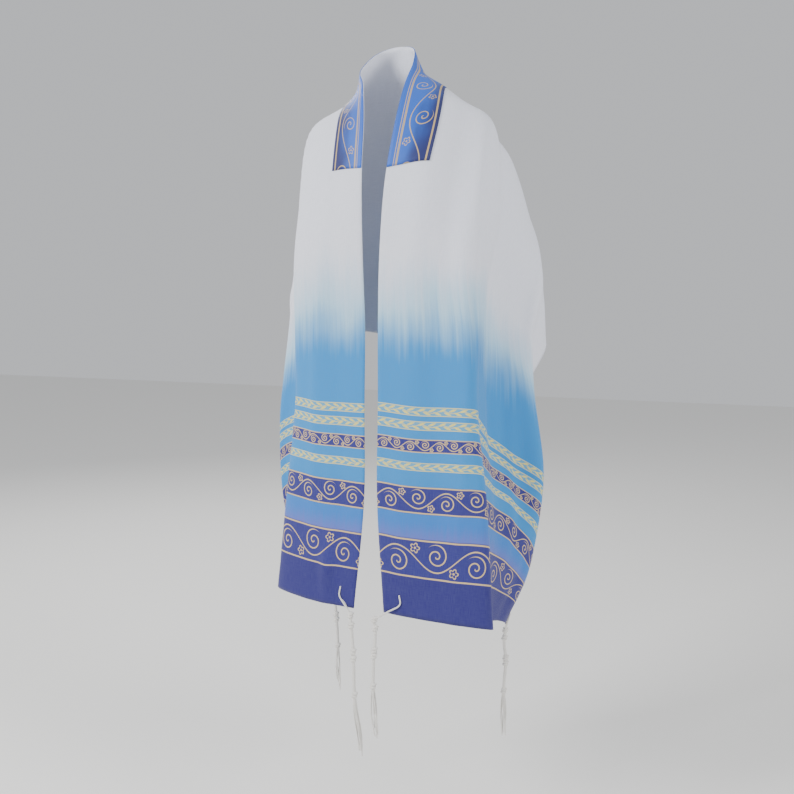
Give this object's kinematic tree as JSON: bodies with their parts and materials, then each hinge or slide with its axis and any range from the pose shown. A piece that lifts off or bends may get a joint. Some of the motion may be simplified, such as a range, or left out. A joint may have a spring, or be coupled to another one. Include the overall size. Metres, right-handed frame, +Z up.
{
  "type": "prayer shawl",
  "caption": "Worn rectangular prayer shawl hanging in two long fronts from a neck band over both shoulders, with a knotted cord at each corner.",
  "frame": {"origin": "on the axis of the neck, level with the shoulders, where the wearer holds the shawl up", "axes": "+Z up, -Y the way the wearer faces, +X towards the wearer's left arm"},
  "size_m": [0.4838, 0.3045, 1.2554],
  "materials": {
    "shawl_cloth": "matte woven wool and linen",
    "neck_band": "satin woven band",
    "white_cord": "matte twisted wool"
  },
  "bodies": {
    "root": {"shawl_cloth": "shawl_cloth", "neck_band": "neck_band", "tzitzit_back_right": "white_cord", "tzitzit_front_right": "white_cord", "tzitzit_front_left": "white_cord", "tzitzit_back_left": "white_cord"}
  },
  "joints": []
}
